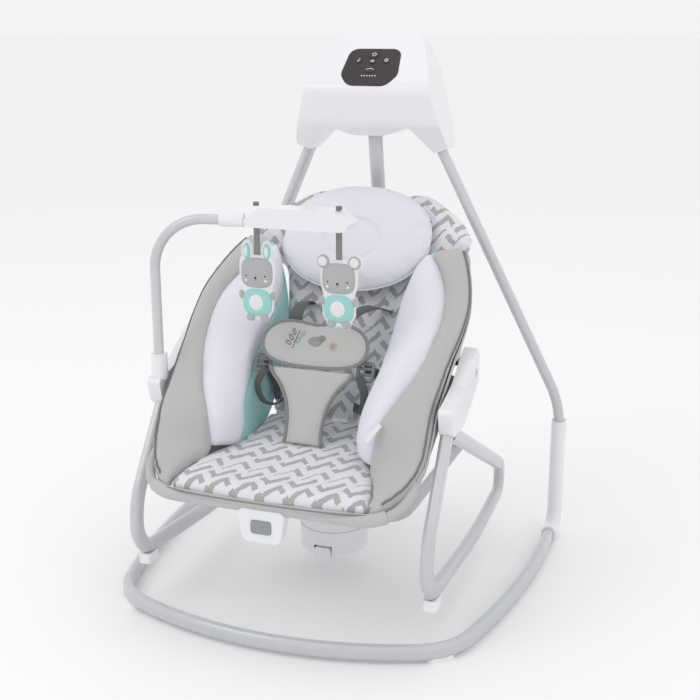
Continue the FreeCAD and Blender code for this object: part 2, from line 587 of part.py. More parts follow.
unitFace = (0, size("seatFront") - 2, 211)
unitWide, unitTall = size("unitWide") / 2, size("unitTall") / 2
unit = plate("UnitBlank", [(-unitWide + 8, -unitTall), (unitWide - 8, -unitTall), (unitWide, unitTall),
                           (-unitWide, unitTall)], [14, 14, 9, 9], facing(unitFace, 0), "Sizes.unitDeep")
keyHole = plate("KeyHole", rectangle(size("keyWide") / 2 + 0.4, -size("keyTall") / 2 - 0.4,
                                     size("keyTall") / 2 + 0.4), [5.4] * 4,
                facing((0, unitFace[1] - 12, 210), 0), "20")
keep("vibration_unit", cut("VibrationUnit", unit, keyHole, seatTubeTool))
keep("vibration_key", plate("VibrationKey", rectangle(size("keyWide") / 2, -size("keyTall") / 2,
                                                      size("keyTall") / 2), [5] * 4,
                            facing((0, unitFace[1] - 14.5, 210), 0), "8"))

# ---------------------------------------------------------------- toy bar

barZ = size("barTop")
trayX, trayY, trayZ = size("trayCentre"), barY + 30, barZ + 8
trayLeft = trayX - size("trayHalf")
barEnd = (trayLeft - 6, barY + 28, barZ)
keep("toy_bar", bent_tube("ToyBar", [(barX, barY, size("barFoot")), (barX, barY, barZ), barEnd],
                          [0, 85, 0], "barRadius"))
along = (Vector(*barEnd) - Vector(barX, barY, barZ)).normalize()
connector = disc("ConnectorBlank", "Sizes.barRadius + 3", "40",
                 Placement(Vector(*barEnd) - along * 38, Rotation(Vector(0, 0, 1), along)))
connectorBore = disc("ConnectorBore", "Sizes.barRadius + 0.06", "39",
                     Placement(Vector(*barEnd) - along * 39, Rotation(Vector(0, 0, 1), along)))
keep("bar_connector", cut("BarConnector", connector, connectorBore))
trayView = [(trayLeft, trayZ - 8), (trayLeft + 14, trayZ - 16), (trayX + 80, trayZ - 16),
            (trayX + size("trayHalf"), trayZ - 3), (trayX + 66, trayZ + 16), (trayLeft + 30, trayZ + 16)]
keep("toy_tray", plate("ToyTray", trayView, [6, 12, 14, 6, 14, 14],
                       Placement(Vector(0, trayY, 0), FRONT), "Sizes.trayDepth", symmetric=True))
toySpots = (("bunny", -80), ("bear", 62))
clips = [disc("Clip" + n, "5", "6", Placement(Vector(x, trayY, trayZ + 16.3), Rotation()))
         for n, x in toySpots]
keep("tray_clips", fuse("TrayClips", *clips))
toyTop = trayZ - 61
bunnyView = [(-14, -112), (14, -112), (27, -100), (27, -66), (31, -54), (31, -12), (27, 0), (28, 20),
             (18, 24), (9, 1), (-9, 1), (-18, 24), (-28, 20), (-27, 0), (-31, -12), (-31, -54), (-27, -66),
             (-27, -100)]
bearView = [(-14, -112), (14, -112), (27, -100), (27, -66), (31, -54), (31, -18), (38, -6), (36, 10),
            (22, 14), (9, 1), (-9, 1), (-22, 14), (-36, 10), (-38, -6), (-31, -18), (-31, -54), (-27, -66),
            (-27, -100)]
toyViews = {"bunny": (bunnyView, [8, 8, 12, 8, 10, 14, 5, 5, 5, 2, 2, 5, 5, 5, 14, 10, 8, 12]),
            "bear": (bearView, [8, 8, 12, 8, 10, 6, 7, 7, 7, 2, 2, 7, 7, 7, 6, 10, 8, 12])}
for name, x in toySpots:
    view, radii = toyViews[name]
    keep("toy_" + name, plate("Toy" + name.capitalize(), view, radii,
                              Placement(Vector(x, trayY + size("toyThick") / 2, toyTop), FRONT),
                              "Sizes.toyThick"))
    keep("strap_" + name, plate("Strap" + name.capitalize(), rectangle(size("strapWide") / 2, toyTop + 3,
                                                                        trayZ - 16.6), [1] * 4,
                                Placement(Vector(x, trayY + 1.5, 0), FRONT), "3"))

# ---------------------------------------------------------------- checks and files

def main():
    doc.recompute()
    for item in doc.Objects:
        if "Invalid" in item.State or "Error" in item.State:
            raise SystemExit("failed object: %s %s" % (item.Name, item.State))
    os.makedirs("parts", exist_ok=True)
    for label, item in nodes.items():
        shape = item.Shape
        if shape.isNull() or not shape.isValid() or shape.Volume <= 0:
            raise SystemExit("bad shape: " + label)
        shape.exportStep("parts/%s.step" % label)
        box = shape.BoundBox
        print("%-26s solids %d  volume %9.0f  x %6.0f %6.0f  y %6.0f %6.0f  z %6.0f %6.0f" % (
            label, len(shape.Solids), shape.Volume, box.XMin, box.XMax, box.YMin, box.YMax,
            box.ZMin, box.ZMax))


main()
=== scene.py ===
import math
import bmesh
import bpy
import numpy as np
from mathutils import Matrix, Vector
from mathutils.bvhtree import BVHTree


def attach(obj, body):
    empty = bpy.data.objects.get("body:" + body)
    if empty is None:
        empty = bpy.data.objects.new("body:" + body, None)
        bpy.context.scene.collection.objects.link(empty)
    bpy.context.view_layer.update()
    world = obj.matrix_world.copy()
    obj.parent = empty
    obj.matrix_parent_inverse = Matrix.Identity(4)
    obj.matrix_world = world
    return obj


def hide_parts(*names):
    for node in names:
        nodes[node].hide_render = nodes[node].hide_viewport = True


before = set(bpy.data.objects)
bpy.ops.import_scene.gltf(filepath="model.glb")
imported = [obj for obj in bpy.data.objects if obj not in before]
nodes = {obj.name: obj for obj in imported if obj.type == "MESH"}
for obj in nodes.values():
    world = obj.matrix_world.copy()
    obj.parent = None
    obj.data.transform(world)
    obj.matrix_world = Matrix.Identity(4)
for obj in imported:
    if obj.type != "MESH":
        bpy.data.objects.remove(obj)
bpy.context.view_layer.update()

mm = 0.001
scene = bpy.context.scene


# meshes

def curveThrough(points, count, closed=False):
    # evenly stepped smooth curve through a few points, in metres
    pts = np.array(points, float) * mm
    if closed:
        ends = np.vstack([pts[-1], pts, pts[0], pts[1]])
        spans = len(pts)
    else:
        ends = np.vstack([2 * pts[0] - pts[1], pts, 2 * pts[-1] - pts[-2]])
        spans = len(pts) - 1
    out = []
    for value in np.linspace(0, spans, count, endpoint=not closed):
        i = min(int(value), spans - 1)
        t = value - i
        a, b, c, d = ends[i:i + 4]
        out.append(0.5 * (2 * b + (c - a) * t + (2 * a - 5 * b + 4 * c - d) * t * t
                          + (3 * b - a - 3 * c + d) * t ** 3))
    return np.array(out)


def edgeSteps(count):
    # steps from 0 to 1 that crowd towards both ends, for rounded borders
    even = np.linspace(0, 1, count)
    return 0.35 * even + 0.65 * (0.5 - 0.5 * np.cos(math.pi * even))


def unit(vectors):
    return vectors / np.maximum(np.linalg.norm(vectors, axis=-1, keepdims=True), 1e-9)


def makePiece(name, points, faces, material):
    mesh = bpy.data.meshes.new(name)
    mesh.from_pydata([tuple(map(float, p)) for p in points], [], faces)
    work = bmesh.new()
    work.from_mesh(mesh)
    bmesh.ops.remove_doubles(work, verts=work.verts, dist=0.00002)
    bmesh.ops.recalc_face_normals(work, faces=work.faces)
    work.to_mesh(mesh)
    work.free()
    mesh.shade_smooth()
    piece = bpy.data.objects.new(name, mesh)
    scene.collection.objects.link(piece)
    mesh.materials.append(material)
    return piece


def gridFaces(rows, cols, index, closeRows=False, closeCols=False):
    faces = []
    for r in range(rows if closeRows else rows - 1):
        for c in range(cols if closeCols else cols - 1):
            r2, c2 = (r + 1) % rows, (c + 1) % cols
            faces.append((index(r, c), index(r, c2), index(r2, c2), index(r2, c)))
    return faces


def padFromGrid(name, front, thick, crown, towards, material):
    # a closed crowned pad: its front is the grid, and its border is rounded
    rows, cols = front.shape[:2]
    normal = unit(np.cross(np.gradient(front, axis=1), np.gradient(front, axis=0)))
    if np.sum(normal * np.array(towards)) < 0:
        normal = -normal
    across = np.cumsum(np.linalg.norm(np.diff(front, axis=1, prepend=front[:, :1]), axis=2), axis=1)
    along = np.cumsum(np.linalg.norm(np.diff(front, axis=0, prepend=front[:1]), axis=2), axis=0)
    near = np.minimum(np.minimum(across, across[:, -1:] - across), np.minimum(along, along[-1:] - along))
    radius = thick / 2
    inside = np.clip(near / radius, 0, 1)
    drop = 1 - np.sqrt(np.clip(1 - (1 - inside) ** 2, 0, 1))
    u = across / np.maximum(across[:, -1:], 1e-6)
    v = along / np.maximum(along[-1:], 1e-6)
    bulge = np.sqrt(np.clip(4 * u * (1 - u), 0, 1)) * np.clip(12 * v * (1 - v), 0, 1) ** 0.5
    top = front + normal * (crown * bulge - radius * drop)[..., None]
    low = front - normal * (thick - radius * drop)[..., None]
    points = list(top.reshape(-1, 3))
    lower = {}
    for r in range(rows):
        for c in range(cols):
            if 0 < r < rows - 1 and 0 < c < cols - 1:
                lower[(r, c)] = len(points)
                points.append(low[r, c])
            else:
                lower[(r, c)] = r * cols + c
    faces = gridFaces(rows, cols, lambda r, c: r * cols + c)
    faces += [f[::-1] for f in gridFaces(rows, cols, lambda r, c: lower[(r, c)])]
    return makePiece(name, points, faces, material)


def puffDisc(name, outline, rise, place, material, under=None, rings=9, power=2.4):
    # a stuffed flat shape: an outline of 2-D points, domed on both faces
    under = rise if under is None else under
    count = len(outline)
    middle = outline.mean(axis=0)
    points = []
    for side, height in ((1, rise), (-1, under)):
        for ring in range(rings + 1):
            part = math.sin(0.5 * math.pi * ring / rings)
            dome = max(0.0, 1 - part ** power) ** 0.5
            for p in outline:
                flat = middle + (p - middle) * part
                points.append(place(flat[0], flat[1], side * height * dome))
    faces = []
    for side in (0, 1):
        start = side * (rings + 1) * count
        faces += gridFaces(rings + 1, count, lambda r, c, s=start: s + r * count + c, closeCols=True)
    return makePiece(name, points, [f for f in faces if len(set(f)) > 2], material)


def sweep(name, path, profile, material, closed=False, up=(0, 0, 1)):
    # a profile of (side, up) points carried along a path
    path = np.array(path)
    ahead = np.roll(path, -1, axis=0) - np.roll(path, 1, axis=0) if closed else np.gradient(path, axis=0)
    ahead = unit(ahead)
    side = np.empty_like(path)
    reference = np.array(up, float)
    for i, direction in enumerate(ahead):
        lateral = np.cross(direction, reference)
        if np.linalg.norm(lateral) < 0.05:
            lateral = np.cross(direction, (1, 0.01, 0))
        side[i] = lateral / np.linalg.norm(lateral)
        reference = np.cross(side[i], direction)
    rise = np.cross(side, ahead)
    points = []
    for i, centre in enumerate(path):
        for a, b in profile:
            points.append(centre + side[i] * a + rise[i] * b)
    ring = len(profile)
    faces = gridFaces(len(path), ring, lambda r, c: r * ring + c, closeRows=closed, closeCols=True)
    if not closed:
        faces.append(tuple(range(ring)))
        faces.append(tuple(range((len(path) - 1) * ring, len(path) * ring))[::-1])
    return makePiece(name, points, faces, material)


def roundProfile(radius, count=10):
    return [(radius * math.cos(2 * math.pi * i / count), radius * math.sin(2 * math.pi * i / count))
            for i in range(count)]


def bandProfile(width, thick):
    # webbing section, with softly rounded selvedges
    w, h, r = width / 2, thick / 2, thick * 0.35
    return [(-w, -h + r), (-w + r, -h), (w - r, -h), (w, -h + r),
            (w, h - r), (w - r, h), (-w + r, h), (-w, h - r)]


def joinPieces(name, parts):
    # several meshes as one piece, each keeping its material
    mesh = bpy.data.meshes.new(name)
    work = bmesh.new()
    materials = []
    for part in parts:
        material = part.data.materials[0]
        if material not in materials:
            materials.append(material)
        start = len(work.faces)
        work.from_mesh(part.data)
        work.faces.ensure_lookup_table()
        for face in work.faces[start:]:
            face.material_index = materials.index(material)
        bpy.data.objects.remove(part)
    work.to_mesh(mesh)
    work.free()
    for material in materials:
        mesh.materials.append(material)
    piece = bpy.data.objects.new(name, mesh)
    scene.collection.objects.link(piece)
    return piece


def subdivide(piece, levels=1):
    modifier = piece.modifiers.new("Smooth", "SUBSURF")
    modifier.levels = levels
    modifier.render_levels = levels
    return piece


def puffUp(piece, voxel=0.006, pressure=4.0, cap=0.006):
    # the cover is blown up a little as cloth, so that it fills and puckers
    remesh = piece.modifiers.new("Remesh", "REMESH")
    remesh.mode = "VOXEL"
    remesh.voxel_size = voxel
    takeEvaluated(piece)
    rest = vertexArray(piece.data)
    cloth = piece.modifiers.new("Cloth", "CLOTH")
    cloth.settings.use_pressure = True
    cloth.settings.uniform_pressure_force = pressure
    cloth.settings.effector_weights.gravity = 0
    cloth.settings.quality = 5
    for step in range(1, 21):
        scene.frame_set(step)
    shaped = piece.evaluated_get(bpy.context.evaluated_depsgraph_get()).to_mesh()
    moved = vertexArray(shaped) - rest
    piece.modifiers.remove(cloth)
    scene.frame_set(1)
    far = np.maximum(np.linalg.norm(moved, axis=1, keepdims=True), 1e-9)
    moved *= cap * np.tanh(far / cap) / far
    piece.data.vertices.foreach_set("co", (rest + moved).astype(np.float32).ravel())
    piece.data.update()
    piece.data.shade_smooth()
    print("puffed", piece.name, len(rest), "points")
    return piece


def takeEvaluated(piece):
    depsgraph = bpy.context.evaluated_depsgraph_get()
    fresh = bpy.data.meshes.new_from_object(piece.evaluated_get(depsgraph))
    piece.modifiers.clear()
    piece.data = fresh


def vertexArray(mesh):
    values = np.zeros(len(mesh.vertices) * 3, np.float32)
    mesh.vertices.foreach_get("co", values)
    return values.reshape(-1, 3).astype(float)


def leaning(centre, degrees):
    # (across, up, out) on a plane that leans back by this angle, to row coordinates
    origin = np.array(centre, float) * mm
    angle = math.radians(degrees)
    up = np.array((0, math.sin(angle), math.cos(angle)))
    out = np.array((0, -math.cos(angle), math.sin(angle)))
    return lambda a, b, c=0.0: origin + np.array((a, 0, 0)) + up * b + out * c


def ellipse(width, height, centre=(0, 0), count=48, power=2.0):
    # superellipse outline in metres
    out = []
    for i in range(count):
        t = 2 * math.pi * i / count
        c, s = math.cos(t), math.sin(t)
        out.append((centre[0] + width * math.copysign(abs(c) ** (2 / power), c),
                    centre[1] + height * math.copysign(abs(s) ** (2 / power), s)))
    return np.array(out)


def arc(centre, radius, start, end, count=16):
    return [(centre[0] + radius * math.cos(math.radians(t)), centre[1] + radius * math.sin(math.radians(t)))
            for t in np.linspace(start, end, count)]


def landOn(piece, place, points, lift):
    # drops 2-D points on to a piece's own front face
    mesh = piece.data
    tree = BVHTree.FromPolygons([v.co for v in mesh.vertices], [p.vertices for p in mesh.polygons])
    out = Vector(place(0, 0, 1) - place(0, 0, 0))
    landed = []
    for a, b in points:
        hit = tree.ray_cast(Vector(place(a, b, 0.02)), -out, 0.05)[0]
        if hit is not None:
            landed.append(np.array(hit + out * lift))
    return landed


def layOn(piece, path, lift):
    # moves a path to the nearest points of a piece's surface
    mesh = piece.data
    tree = BVHTree.FromPolygons([v.co for v in mesh.vertices], [p.vertices for p in mesh.polygons])
    laid = []
    for point in path:
        place, normal = tree.find_nearest(Vector(point))[:2]
        laid.append(np.array(place + normal * lift))
    laid = np.array(laid)
    laid[1:-1] = 0.25 * laid[:-2] + 0.5 * laid[1:-1] + 0.25 * laid[2:]
    return laid


def stitches(name, path, dash, gap, radius, material):
    # a run of short threads along a path
    path = np.array(path)
    steps = np.concatenate([[0], np.cumsum(np.linalg.norm(np.diff(path, axis=0), axis=1))])
    points, faces = [], []
    at = gap
    while at + dash < steps[-1]:
        ends = []
        for value in np.linspace(at, at + dash, 4):
            ends.append([np.interp(value, steps, path[:, k]) for k in range(3)])
        ends = np.array(ends)
        ahead = unit(ends[-1] - ends[0])
        side = unit(np.cross(ahead, (0.3, -0.8, 0.52)))
        rise = np.cross(side, ahead)
        start = len(points)
        for centre, scale in zip(ends, (0.35, 1, 1, 0.35)):
            for k in range(5):
                t = 2 * math.pi * k / 5
                points.append(centre + (side * math.cos(t) + rise * math.sin(t)) * radius * scale)
        faces += gridFaces(4, 5, lambda r, c, s=start: s + r * 5 + c, closeCols=True)
        faces.append(tuple(range(start, start + 5)))
        faces.append(tuple(range(start + 15, start + 20)))
        at += dash + gap
    return makePiece(name, points, faces, material)


# shader groups

def newGroup(name, inputs, outputs):
    group = bpy.data.node_groups.new(name, "ShaderNodeTree")
    for label, value in inputs.items():
        kind = "NodeSocketVector" if value is None else "NodeSocketFloat"
        socket = group.interface.new_socket(label, in_out="INPUT", socket_type=kind)
        if value is not None:
            socket.default_value = value
    for label, kind in outputs.items():
        group.interface.new_socket(label, in_out="OUTPUT", socket_type=kind)
    return group, group.nodes.new("NodeGroupInput"), group.nodes.new("NodeGroupOutput")


def addNode(tree, kind, **values):
    # adds a node; a value may be a plain value or another node's output socket
    node = tree.nodes.new(kind)
    for label, value in values.items():
        if hasattr(node, label) and not isinstance(value, bpy.types.NodeSocket):
            setattr(node, label, value)
            continue
        key = int(label[1:]) if label[0] == "i" and label[1:].isdigit() else label.replace("_", " ")
        if isinstance(value, bpy.types.NodeSocket):
            tree.links.new(value, node.inputs[key])
        else:
            node.inputs[key].default_value = value
    return node


def maths(tree, operation, a, b=0.0, c=0.0):
    return addNode(tree, "ShaderNodeMath", operation=operation, i0=a, i1=b, i2=c).outputs[0]


def mixColour(tree, factor, first, second):
    node = tree.nodes.new("ShaderNodeMix")
    node.data_type = "RGBA"
    for key, value in ((0, factor), (6, first), (7, second)):
        if isinstance(value, bpy.types.NodeSocket):
            tree.links.new(value, node.inputs[key])
        else:
            node.inputs[key].default_value = value
    return node.outputs[2]


def buildWeave():
    # plain weave and loose fibres, in metres
    group, given, result = newGroup("Weave", {"Pitch": 0.0012, "Fuzz": 0.5},
                                    {"Height": "NodeSocketFloat", "Fibre": "NodeSocketFloat",
                                     "Patches": "NodeSocketFloat"})
    where = addNode(group, "ShaderNodeTexCoord").outputs["Object"]
    split = addNode(group, "ShaderNodeSeparateXYZ", Vector=where)
    turns = maths(group, "DIVIDE", 2 * math.pi, given.outputs["Pitch"])
    warp = maths(group, "SINE", maths(group, "MULTIPLY", split.outputs[0], turns))
    slope = maths(group, "ADD", split.outputs[1], split.outputs[2])
    weft = maths(group, "SINE", maths(group, "MULTIPLY", slope, turns))
    cross = maths(group, "MULTIPLY_ADD", maths(group, "MULTIPLY", warp, weft), 0.5, 0.5)
    fibre = addNode(group, "ShaderNodeTexNoise", Vector=where, Scale=900.0, Detail=4.0).outputs["Fac"]
    patches = addNode(group, "ShaderNodeTexNoise", Vector=where, Scale=14.0, Detail=3.0).outputs["Fac"]
    blend = addNode(group, "ShaderNodeMix", i0=given.outputs["Fuzz"], i2=cross, i3=fibre).outputs[0]
    group.links.new(blend, result.inputs["Height"])
    group.links.new(fibre, result.inputs["Fibre"])
    group.links.new(patches, result.inputs["Patches"])
    return group


def buildHandling():
    # where a hard surface is rubbed: brighter edges and faint smears
    group, given, result = newGroup("Handling", {"Reach": 0.08},
                                    {"Edge": "NodeSocketFloat", "Smear": "NodeSocketFloat",
                                     "Grain": "NodeSocketFloat"})
    where = addNode(group, "ShaderNodeTexCoord").outputs["Object"]
    point = addNode(group, "ShaderNodeNewGeometry").outputs["Pointiness"]
    raised = maths(group, "SUBTRACT", point, 0.5)
    edge = addNode(group, "ShaderNodeMapRange", i0=raised, i1=0.0, i2=given.outputs["Reach"]).outputs[0]
    smear = addNode(group, "ShaderNodeTexNoise", Vector=where, Scale=22.0, Detail=5.0, Roughness=0.6)
    grain = addNode(group, "ShaderNodeTexNoise", Vector=where, Scale=1400.0, Detail=2.0)
    group.links.new(edge, result.inputs["Edge"])
    group.links.new(smear.outputs["Fac"], result.inputs["Smear"])
    group.links.new(grain.outputs["Fac"], result.inputs["Grain"])
    return group


def buildBrushPrint():
    # hand-brushed zigzag rows joined by slanting strokes
    group, given, result = newGroup("BrushPrint", {"Cloth": None, "Period": 0.046, "Row": 0.033},
                                    {"White": "NodeSocketFloat"})
    cloth = given.outputs["Cloth"]
    sway = addNode(group, "ShaderNodeTexNoise", Vector=cloth, Scale=55.0, Detail=2.0)
    moved = addNode(group, "ShaderNodeVectorMath", operation="SCALE", i0=sway.outputs["Color"], Scale=0.008)
    placed = addNode(group, "ShaderNodeVectorMath", operation="ADD", i0=cloth, i1=moved.outputs[0])
    split = addNode(group, "ShaderNodeSeparateXYZ", Vector=placed.outputs[0])
    across, along = split.outputs[0], split.outputs[1]
    period, row = given.outputs["Period"], given.outputs["Row"]
    phase = maths(group, "FRACT", maths(group, "DIVIDE", across, period))
    zigzag = maths(group, "ABSOLUTE", maths(group, "SUBTRACT", phase, 0.5))
    lift = maths(group, "MULTIPLY_ADD", zigzag, 0.052, along)
    rowPhase = maths(group, "FRACT", maths(group, "DIVIDE", lift, row))
    streak = addNode(group, "ShaderNodeTexNoise", Vector=cloth, Scale=260.0, Detail=3.0).outputs["Fac"]
    ragged = maths(group, "MULTIPLY_ADD", streak, 0.20, -0.10)
    band = maths(group, "ABSOLUTE", maths(group, "SUBTRACT", rowPhase, 0.5))
    band = maths(group, "LESS_THAN", maths(group, "ADD", band, ragged), 0.29)
    slant = maths(group, "MULTIPLY_ADD", along, -0.9, across)
    slantPhase = maths(group, "FRACT", maths(group, "DIVIDE", slant, period))
    strokes = maths(group, "ABSOLUTE", maths(group, "SUBTRACT", slantPhase, 0.5))
    strokes = maths(group, "LESS_THAN", maths(group, "ADD", strokes, ragged), 0.12)
    group.links.new(maths(group, "MAXIMUM", band, strokes), result.inputs["White"])
    return group


weave = buildWeave()
handling = buildHandling()
brushPrint = buildBrushPrint()
print("shader groups made")


# materials

def startMaterial(name):
    material = bpy.data.materials.new(name)
    material.use_nodes = True
    tree = material.node_tree
    return material, tree, tree.nodes["Principled BSDF"]


def placeGroup(tree, group, **values):
    node = tree.nodes.new("ShaderNodeGroup")
    node.node_tree = group
    for label, value in values.items():
        if isinstance(value, bpy.types.NodeSocket):
            tree.links.new(value, node.inputs[label])
        else:
            node.inputs[label].default_value = value
    return node


def shade(colour, factor):
    return (*[min(1.0, c * factor) for c in colour], 1.0)


def addBump(tree, shader, height, distance, strength):
    bump = addNode(tree, "ShaderNodeBump", Height=height, Distance=distance, Strength=strength)
    tree.links.new(bump.outputs[0], shader.inputs["Normal"])


def hardFinish(name, colour, roughness, metallic=0.0, coat=0.0, grain=0.05, wear=1.08, ior=1.5):
    material, tree, shader = startMaterial(name)
    used = placeGroup(tree, handling)
    tone = mixColour(tree, used.outputs["Smear"], shade(colour, 0.97), shade(colour, 1.03))
    tone = mixColour(tree, used.outputs["Edge"], tone, shade(colour, wear))
    tree.links.new(tone, shader.inputs["Base Color"])
    rough = addNode(tree, "ShaderNodeMapRange", i0=used.outputs["Smear"], i3=roughness * 0.85,
                    i4=roughness * 1.2)
    tree.links.new(rough.outputs[0], shader.inputs["Roughness"])
    shader.inputs["Metallic"].default_value = metallic
    shader.inputs["Coat Weight"].default_value = coat
    shader.inputs["Coat Roughness"].default_value = 0.12
    shader.inputs["IOR"].default_value = ior
    addBump(tree, shader, used.outputs["Grain"], 0.0002, grain)
    return material


def clothFinish(name, colour, pitch, fuzz, sheen=0.25, roughness=0.85, bump=0.4, depth=0.0004):
    material, tree, shader = startMaterial(name)
    cloth = placeGroup(tree, weave, Pitch=pitch, Fuzz=fuzz)
    tone = mixColour(tree, cloth.outputs["Patches"], shade(colour, 0.95), shade(colour, 1.04))
    # darker where the weave dips: painted shade in the weave's hollows, mixed with random fibre tone
    tone = mixColour(tree, cloth.outputs["Height"], mixColour(tree, 0.5, tone, shade(colour, 0.86)), tone)
    tree.links.new(tone, shader.inputs["Base Color"])
    rough = addNode(tree, "ShaderNodeMapRange", i0=cloth.outputs["Fibre"], i3=roughness - 0.08,
                    i4=roughness + 0.08)
    tree.links.new(rough.outputs[0], shader.inputs["Roughness"])
    shader.inputs["Sheen Weight"].default_value = sheen
    shader.inputs["Sheen Roughness"].default_value = 0.4
    shader.inputs["Specular IOR Level"].default_value = 0.25
    addBump(tree, shader, cloth.outputs["Height"], depth, bump)
    return material


def printFinish(name, white, grey):
    material, tree, shader = startMaterial(name)
    cloth = placeGroup(tree, weave, Pitch=0.0008, Fuzz=0.35)
    where = tree.nodes.new("ShaderNodeAttribute")
    where.attribute_name = "cloth"
    brushed = placeGroup(tree, brushPrint, Cloth=where.outputs["Vector"])
    tone = mixColour(tree, brushed.outputs["White"], shade(grey, 1), shade(white, 1))
    tone = mixColour(tree, maths(tree, "MULTIPLY", cloth.outputs["Fibre"], 0.22), tone, shade(grey, 0.9))
    tree.links.new(tone, shader.inputs["Base Color"])
    rough = addNode(tree, "ShaderNodeMapRange", i0=cloth.outputs["Fibre"], i3=0.72, i4=0.9)
    tree.links.new(rough.outputs[0], shader.inputs["Roughness"])
    shader.inputs["Sheen Weight"].default_value = 0.15
    shader.inputs["Specular IOR Level"].default_value = 0.25
    addBump(tree, shader, cloth.outputs["Height"], 0.0003, 0.35)
    return material


tubePaint = hardFinish("TubePaint", (0.56, 0.57, 0.59), 0.30, metallic=0.2, coat=0.3, grain=0.04)
whiteGloss = hardFinish("WhiteGloss", (0.79, 0.79, 0.82), 0.22, coat=0.25, grain=0.03, wear=1.03)
darkGloss = hardFinish("DarkGloss", (0.030, 0.024, 0.026), 0.22, grain=0.01, wear=1.4, ior=1.35)
plainSteel = hardFinish("PlainSteel", (0.55, 0.55, 0.57), 0.34, metallic=1.0, grain=0.12, wear=1.15)
greyPlastic = hardFinish("GreyPlastic", (0.27, 0.28, 0.29), 0.42, grain=0.15)
clipGrey = hardFinish("ClipGrey", (0.17, 0.175, 0.18), 0.40, grain=0.12)
footRubber = hardFinish("FootRubber", (0.78, 0.78, 0.79), 0.55, grain=0.25)
circuitGreen = hardFinish("CircuitGreen", (0.03, 0.16, 0.07), 0.45, grain=0.2)
cellMetal = hardFinish("CellMetal", (0.45, 0.44, 0.40), 0.35, metallic=0.9, grain=0.1)
woundCopper = hardFinish("WoundCopper", (0.52, 0.22, 0.09), 0.35, metallic=0.85, grain=0.3)
mattBlack = hardFinish("MattBlack", (0.025, 0.025, 0.027), 0.6, grain=0.3)
inkWhite = hardFinish("InkWhite", (0.82, 0.82, 0.84), 0.5, grain=0.02)

greyVelour = clothFinish("GreyVelour", (0.50, 0.50, 0.495), 0.0013, 0.75, sheen=0.3)
whiteJersey = clothFinish("WhiteJersey", (0.80, 0.79, 0.86), 0.0011, 0.6, sheen=0.3)
aquaMesh = clothFinish("AquaMesh", (0.42, 0.71, 0.71), 0.0016, 0.35, sheen=0.2)
whitePlush = clothFinish("WhitePlush", (0.80, 0.79, 0.85), 0.003, 0.95, sheen=0.5, bump=0.6, depth=0.0012)
padGrey = clothFinish("PadGrey", (0.53, 0.53, 0.52), 0.0012, 0.7, sheen=0.3)
bindingGrey = clothFinish("BindingGrey", (0.26, 0.265, 0.26), 0.0009, 0.3, sheen=0.1)
darkWebbing = clothFinish("DarkWebbing", (0.115, 0.117, 0.12), 0.0016, 0.15, sheen=0.15, bump=0.8, depth=0.0006)
pipingDark = clothFinish("PipingDark", (0.20, 0.20, 0.205), 0.0008, 0.3, sheen=0.1)
feltWhite = clothFinish("FeltWhite", (0.80, 0.80, 0.82), 0.0009, 0.95, sheen=0.4)
feltGrey = clothFinish("FeltGrey", (0.46, 0.46, 0.465), 0.0009, 0.9, sheen=0.35)
feltAqua = clothFinish("FeltAqua", (0.36, 0.66, 0.64), 0.0009, 0.9, sheen=0.35)
threadDark = clothFinish("ThreadDark", (0.045, 0.043, 0.045), 0.0006, 0.3)
threadLight = clothFinish("ThreadLight", (0.62, 0.63, 0.62), 0.0006, 0.3)
threadAqua = clothFinish("ThreadAqua", (0.22, 0.50, 0.45), 0.0006, 0.3)
threadSage = clothFinish("ThreadSage", (0.34, 0.38, 0.36), 0.0006, 0.3)
threadPink = clothFinish("ThreadPink", (0.62, 0.36, 0.36), 0.0006, 0.3)
chevronPrint = printFinish("ChevronPrint", (0.80, 0.79, 0.84), (0.43, 0.425, 0.415))
print("materials made")


# camera, light and floor

viewpoint = {"azimuth": 19.695, "elevation": 15.557, "distance": 2.0, "aim": (0.0313, 0.0189, 0.4139),
             "lens": 58.92, "sensor": 36.0}


def placeCamera():
    turn, tip = math.radians(viewpoint["azimuth"]), math.radians(viewpoint["elevation"])
    back = Vector((math.sin(turn) * math.cos(tip), -math.cos(turn) * math.cos(tip), math.sin(tip)))
    data = bpy.data.cameras.new("Camera")
    data.lens = viewpoint["lens"]
    data.sensor_width = viewpoint["sensor"]
    camera = bpy.data.objects.new("Camera", data)
    scene.collection.objects.link(camera)
    camera.location = Vector(viewpoint["aim"]) + back * viewpoint["distance"]
    camera.rotation_euler = (math.pi / 2 - tip, 0, turn)
    scene.camera = camera


studio = {"floorTone": (0.94, 0.94, 0.945, 1), "floorSize": 400.0, "sky": 0.94, "horizon": 0.90,
          "lamps": [("KeyLamp", (-1.6, -1.9, 2.6), 1.6, 10), ("FillLamp", (2.3, -1.4, 1.8), 2.0, 2),
                    ("TopLamp", (0.1, 0.4, 3.2), 2.0, 5)]}


